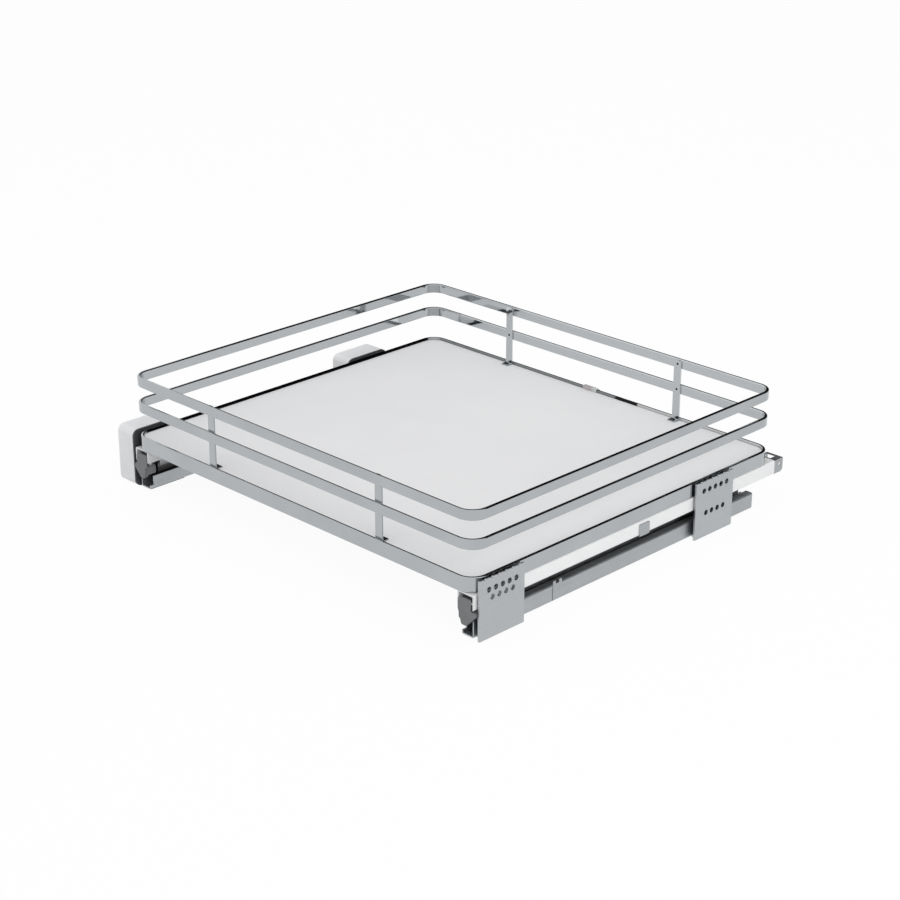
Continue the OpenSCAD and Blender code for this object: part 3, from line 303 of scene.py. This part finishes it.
# Painted shade: near black on the left web, dark grey on the right.
for side, web in (("left", (0.040, 0.040, 0.042)), ("right", (0.24, 0.245, 0.25))):
    finish_node(f"{side}_middle_rail", f"{side}_middle",
                web_shaded_zinc(f"{side}_web_shaded_zinc", web, (0.30, 0.305, 0.31)), SHEET_EASE)


# Drawer rails
# Channels under the tray, powder-coated near-white, with a fine orange-peel surface.
# Each carries a grey hook at the rear, a small side tab and the damper's catch. The rivets that
# hold the hook are coated with the rail.

rail_coat = Finish("rail_coat", IOR=1.5)
rail_coat.colour(rail_coat.ramp(rail_coat.noise(25, 4),
                                ((0.765, 0.77, 0.775), (0.805, 0.81, 0.815))))
rail_coat.roughness(rail_coat.ramp(rail_coat.noise(180), (0.30, 0.42)))
rail_coat.bump(rail_coat.noise(700, 2), 0.00008, 0.5)
for side in ("left", "right"):
    finish_node(f"{side}_drawer_rail", "basket", rail_coat.material, SHEET_EASE)
    finish_node(f"{side}_rear_hook", "basket", rail_zinc, SHEET_EASE)
finish_node("hook_rivets", "basket", rail_coat.material, 0.0002)
finish_node("rail_side_tabs", "basket", rail_zinc, SHEET_EASE)
finish_node("damper_catches", "basket", rail_zinc, SHEET_EASE)


# Front clips
# Grey plastic blocks pushed into the drawer rails' front ends, with a hinged release lever.
# The lever hangs on a steel pin and hooks the drawer rail to the slide.

for side in ("left", "right"):
    finish_node(f"{side}_front_clip", "basket", clip_plastic, 0.0004, 3)
    finish_node(f"{side}_release_lever", f"{side}_lever", clip_plastic, 0.0007, 4)
finish_node("lever_pins", "basket", bright_steel, 0.0002)


# Tray panel
# A board coated white all over, cut to the rim's inside and screwed to the drawer rails.
# Its edges are sealed and barely eased.

panel_coat = Finish("panel_coat", IOR=1.5)
panel_coat.colour(panel_coat.ramp(panel_coat.noise(9, 6, 0.55),
                                  ((0.765, 0.768, 0.78), (0.79, 0.793, 0.80))))
panel_coat.roughness(panel_coat.ramp(panel_coat.noise(120, 5), (0.52, 0.62)))
panel_coat.shader.inputs["Specular IOR Level"].default_value = 0.03
panel_coat.bump(panel_coat.noise(1500, 3, 0.6), 0.00004, 0.5)
finish_node("tray_panel", "basket", panel_coat.material, 0.0004, 2)
finish_node("tray_screws", "basket", bright_steel, 0.0003)


# Rim and guard rails
# Three loops bent from flat steel bar and bright plated, one round the panel and two above it.
# The bar's long edges are rounded, which draws the dark line along each loop. The dark and pale
# reflections on its inner sides are painted into its colour. A moulded cover and a blackened screw
# close the rim's joint.

LEFT_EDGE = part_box("tray_rim")[0].x
REAR_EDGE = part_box("tray_rim")[1].y
PANEL_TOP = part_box("tray_panel")[1].z
BAR_T = 0.0037
BAR_CORNER = 0.020
BAR_ROUND = 0.0013
# The inner sides reach from this far below the outer side to just past the bar, or past the
# uprights, which stand against the rear bars
SKIN = 0.0006
PAST_BAR = 0.0045
PAST_UPRIGHT = 0.0056
BLUR = 0.0003
LONG_BLUR = 0.001
FAR = 0.3
RIM_TOP = 0.080
# Painted reflections change along the inner sides at these: a dark patch on the rim's rear side,
# and where the guard rails' paler stretches end.
DARK_PATCH = (0.053, 0.087)
LOWER_PALE = (-0.200, 0.159)
UPPER_PALE = (-0.106, 0.0896)


def within(finish, value, low, high, blur=BLUR):
    """1 where a value lies between low and high, 0 elsewhere."""
    ends = []
    for edge, first, last in ((low, 0.0, 1.0), (high, 1.0, 0.0)):
        step = finish.add("ShaderNodeMapRange", {"Value": value})
        step.inputs["From Min"].default_value = edge - blur
        step.inputs["From Max"].default_value = edge + blur
        step.inputs["To Min"].default_value = first
        step.inputs["To Max"].default_value = last
        ends.append(step.outputs["Result"])
    both = finish.add("ShaderNodeMath", {0: ends[0], 1: ends[1]}, operation="MULTIPLY")
    return both.outputs[0]


def tinted(finish, colour, mask, tint):
    """A colour turned into another one where the mask is 1."""
    mix = finish.add("ShaderNodeMix", data_type="RGBA")
    mix.inputs["B"].default_value = (*tint, 1)
    for socket, source in (("Factor", mask), ("A", colour)):
        finish.tree.links.new(source, mix.inputs[socket])
    return mix.outputs["Result"]


def both(finish, first, second):
    """1 where two masks are both 1."""
    return finish.add("ShaderNodeMath", {0: first, 1: second}, operation="MULTIPLY").outputs[0]


def reflection_painted_bar(name, pale=None):
    """Bright plating over a polished bar: nearly even, with faint waves and fine wipe marks.

    pale gives the X from which the rear inner side is painted paler, and the Y up to which the left
    one is, as painted reflection. Without it this is the rim's plating, with painted dark
    reflections on these sides.
    """
    finish = Finish(name, Metallic=1.0)
    wave = finish.noise(18, 3, 0.5)
    wipe = finish.noise(1.0, 3, 0.6, finish.stretched((60, 60, 1500)))
    colour = finish.ramp(wave, ((0.405, 0.425, 0.44), (0.44, 0.46, 0.475)))
    spot = finish.add("ShaderNodeSeparateXYZ", {"Vector": finish.place}).outputs
    left = within(finish, spot["X"], LEFT_EDGE + SKIN, LEFT_EDGE + PAST_BAR)
    if pale:
        # Painted reflection: the rear inner side is paler from pale's X on, the left one up to
        # pale's Y.
        rear = within(finish, spot["Y"], REAR_EDGE - PAST_UPRIGHT, REAR_EDGE - SKIN)
        part = within(finish, spot["X"], pale[0], FAR, LONG_BLUR)
        colour = tinted(finish, colour, both(finish, rear, part), (0.59, 0.61, 0.625))
        part = within(finish, spot["Y"], -FAR, pale[1], LONG_BLUR)
        colour = tinted(finish, colour, both(finish, left, part), (0.59, 0.61, 0.625))
    else:
        # Painted reflections on the rim: near black on the left inner side, dark grey on the rear,
        # with a darker patch and then a brighter stretch.
        rear = within(finish, spot["Y"], REAR_EDGE - PAST_BAR, REAR_EDGE - SKIN)
        above = within(finish, spot["Z"], PANEL_TOP, RIM_TOP)
        colour = tinted(finish, colour, both(finish, left, above), (0.006, 0.006, 0.007))
        colour = tinted(finish, colour, both(finish, rear, above), (0.24, 0.25, 0.255))
        patch = within(finish, spot["X"], DARK_PATCH[0], DARK_PATCH[1], LONG_BLUR)
        colour = tinted(finish, colour, both(finish, rear, patch), (0.02, 0.02, 0.022))
        bright = within(finish, spot["X"], DARK_PATCH[1], FAR, LONG_BLUR)
        colour = tinted(finish, colour, both(finish, rear, bright), (0.55, 0.56, 0.57))
    finish.colour(colour)
    finish.roughness(finish.ramp(wipe, (0.03, 0.07)))
    finish.bump(wipe, 0.00001, 0.35)
    return finish.material


rim_plating_and_reflections = reflection_painted_bar("rim_plating_and_reflections")
strip_plating_and_reflections = reflection_painted_bar("strip_plating_and_reflections", LOWER_PALE)
upper_plating_and_reflections = reflection_painted_bar("upper_plating_and_reflections", UPPER_PALE)


def bar_loop(node, material):
    """A loop of bar on a CAD node's box: a plane with round corners, inset, opened and raised."""
    low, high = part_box(node)
    centre = (low + high) / 2
    bpy.ops.object.select_all(action="DESELECT")
    bpy.ops.mesh.primitive_plane_add(size=1, location=(centre.x, centre.y, low.z))
    loop = bpy.context.object
    loop.name = node + "_bar"
    loop.scale = (high.x - low.x, high.y - low.y, 1)
    bpy.ops.object.transform_apply(location=True, rotation=False, scale=True)
    bpy.ops.object.mode_set(mode="EDIT")
    bpy.ops.mesh.select_all(action="SELECT")
    bpy.ops.mesh.bevel(offset=BAR_CORNER, segments=20, affect="VERTICES")
    bpy.ops.mesh.select_all(action="SELECT")
    bpy.ops.mesh.inset(thickness=BAR_T)
    bpy.ops.mesh.delete(type="FACE")
    bpy.ops.mesh.select_all(action="SELECT")
    bpy.ops.mesh.extrude_region_move(TRANSFORM_OT_translate={"value": (0, 0, high.z - low.z)})
    bpy.ops.mesh.select_all(action="SELECT")
    bpy.ops.mesh.normals_make_consistent(inside=False)
    bpy.ops.object.mode_set(mode="OBJECT")
    ease_edges(loop, BAR_ROUND, 6)
    loop.data.materials.append(material)
    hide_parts(node)
    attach(loop, "basket")
    return loop


bar_loop("tray_rim", rim_plating_and_reflections)
bar_loop("lower_guard_rail", strip_plating_and_reflections)
bar_loop("upper_guard_rail", upper_plating_and_reflections)

COVER_SPLIT_X = 0.0181
cover_paint = Finish("cover_paint", IOR=1.47)
across = cover_paint.add("ShaderNodeSeparateXYZ", {"Vector": cover_paint.place}).outputs["X"]
cover_paint.colour(cover_paint.ramp(across, ((0.47, 0.43, 0.44), (0.58, 0.59, 0.59)),
                                    COVER_SPLIT_X, COVER_SPLIT_X + 0.0002))
cover_paint.roughness(cover_paint.ramp(cover_paint.noise(400), (0.32, 0.46)))
cover_paint.bump(cover_paint.noise(2600, 3, 0.6), 0.00004, 0.6)
finish_node("rim_joint_cover", "basket", cover_paint.material, 0.0003, 3)

blackened = Finish("blackened_steel", Metallic=0.5)
blackened.colour(blackened.ramp(blackened.noise(800),
                                ((0.014, 0.014, 0.015), (0.030, 0.030, 0.031))))
blackened.roughness(blackened.ramp(blackened.noise(500, 4), (0.34, 0.5)))
blackened.bump(blackened.noise(2200, 3), 0.00003, 0.5)
finish_node("rim_joint_screw", "basket", blackened.material, 0.0002)


# Uprights
# Four short strips bent at the bottom into a foot, riveted to the guard rails.
# A blackened screw through each foot holds it to the panel.

for end in ("front", "rear"):
    for side in ("left", "right"):
        finish_node(f"{end}_{side}_upright", "basket", strip_plating_and_reflections, 0.0005, 3)
finish_node("upright_rivets", "basket", blackened.material, 0.0002)
finish_node("foot_screws", "basket", blackened.material, 0.0002)


# Studio
# A white floor that keeps a soft shadow, a white surround, two soft lamps and a dark flag.
# The flag stands behind the object and shows only in polished metal, as a dark line.

FLOOR_Z = cad_low[2] - 0.0004
FLOOR_GLOW = 0.95
bpy.ops.object.select_all(action="DESELECT")
bpy.ops.mesh.primitive_plane_add(size=14, location=(0, 0, FLOOR_Z))
floor = bpy.context.object
floor.name = "studio_floor"

floor_paint = bpy.data.materials.new("floor_paint")
floor_paint.use_nodes = True
tree = floor_paint.node_tree
tree.nodes.clear()
paint_out = tree.nodes.new("ShaderNodeOutputMaterial")
paint = tree.nodes.new("ShaderNodeBsdfDiffuse")
paint.inputs["Color"].default_value = (0.85, 0.85, 0.85, 1)
glow = tree.nodes.new("ShaderNodeEmission")
glow.inputs["Strength"].default_value = 1.0
paths = tree.nodes.new("ShaderNodeLightPath")
seen = tree.nodes.new("ShaderNodeMath")
seen.operation = "MAXIMUM"
share = tree.nodes.new("ShaderNodeMath")
share.operation = "MULTIPLY"
share.inputs[1].default_value = FLOOR_GLOW
blend = tree.nodes.new("ShaderNodeMixShader")
tree.links.new(paths.outputs["Is Camera Ray"], seen.inputs[0])
tree.links.new(paths.outputs["Is Glossy Ray"], seen.inputs[1])
tree.links.new(seen.outputs[0], share.inputs[0])
tree.links.new(share.outputs[0], blend.inputs["Fac"])
tree.links.new(paint.outputs["BSDF"], blend.inputs[1])
tree.links.new(glow.outputs["Emission"], blend.inputs[2])
tree.links.new(blend.outputs["Shader"], paint_out.inputs["Surface"])
floor.data.materials.append(floor_paint)


def flag(name, centre, width, height, facing, shade):
    """A card that only glossy rays see."""
    bpy.ops.object.select_all(action="DESELECT")
    bpy.ops.mesh.primitive_plane_add(size=1)
    card = bpy.context.object
    card.name = name
    card.scale = (width, height, 1)
    card.rotation_euler = (Vector(facing) - Vector(centre)).to_track_quat("Z", "Y").to_euler()
    card.location = centre
    card.visible_camera = False
    card.visible_diffuse = False
    card.visible_shadow = False
    card.visible_transmission = False
    colour = bpy.data.materials.new(name)
    colour.use_nodes = True
    colour.node_tree.nodes.clear()
    out = colour.node_tree.nodes.new("ShaderNodeOutputMaterial")
    light = colour.node_tree.nodes.new("ShaderNodeEmission")
    light.inputs["Color"].default_value = (shade, shade, shade, 1)
    colour.node_tree.links.new(light.outputs["Emission"], out.inputs["Surface"])
    card.data.materials.append(colour)
    return card


flag("dark_flag", (0.25, 3.0, 4.6), 9.3, 9.0, (0.25, 0, 4.6), 0.012)


def soft_lamp(name, place, size, power):
    data = bpy.data.lights.new(name, "AREA")
    data.shape = "SQUARE"
    data.size = size
    data.energy = power
    lamp = bpy.data.objects.new(name, data)
    lamp.location = place
    lamp.rotation_euler = (Vector((0, 0, 0.05)) - Vector(place)).to_track_quat("-Z", "Y").to_euler()
    lamp.visible_glossy = False
    bpy.context.scene.collection.objects.link(lamp)
    return lamp


soft_lamp("key_lamp", (0.2, -0.2, 3.0), 2.4, 20)
soft_lamp("fill_lamp", (2.6, -0.7, 1.1), 2.0, 24)

world = bpy.data.worlds.new("surround")
bpy.context.scene.world = world
world.use_nodes = True
tree = world.node_tree
paths = tree.nodes.new("ShaderNodeLightPath")
seen = tree.nodes.new("ShaderNodeMath")
seen.operation = "MAXIMUM"
tone = tree.nodes.new("ShaderNodeMix")
tone.data_type = "FLOAT"
tone.inputs["A"].default_value = 0.72
tone.inputs["B"].default_value = 1.0
background = tree.nodes["Background"]
background.inputs["Color"].default_value = (1, 1, 1, 1)
tree.links.new(paths.outputs["Is Camera Ray"], seen.inputs[0])
tree.links.new(paths.outputs["Is Glossy Ray"], seen.inputs[1])
tree.links.new(seen.outputs[0], tone.inputs["Factor"])
tree.links.new(tone.outputs["Result"], background.inputs["Strength"])


# Camera
# It stands where the photograph was taken from. Place, angles and lens come from a fit of the
# tray's corners.

AZIMUTH = math.radians(45.04)
ELEVATION = math.radians(22.513)
back = Vector((math.sin(AZIMUTH) * math.cos(ELEVATION),
               -math.cos(AZIMUTH) * math.cos(ELEVATION), math.sin(ELEVATION)))
camera_data = bpy.data.cameras.new("photo_camera")
camera_data.lens = 83.5
camera_data.sensor_width = 36
camera = bpy.data.objects.new("photo_camera", camera_data)
camera.location = (1.5232, -1.5184, 0.9394)
camera.rotation_euler = (-back).to_track_quat("-Z", "Y").to_euler()
bpy.context.scene.collection.objects.link(camera)
bpy.context.scene.camera = camera
bpy.context.scene.view_settings.view_transform = "Standard"
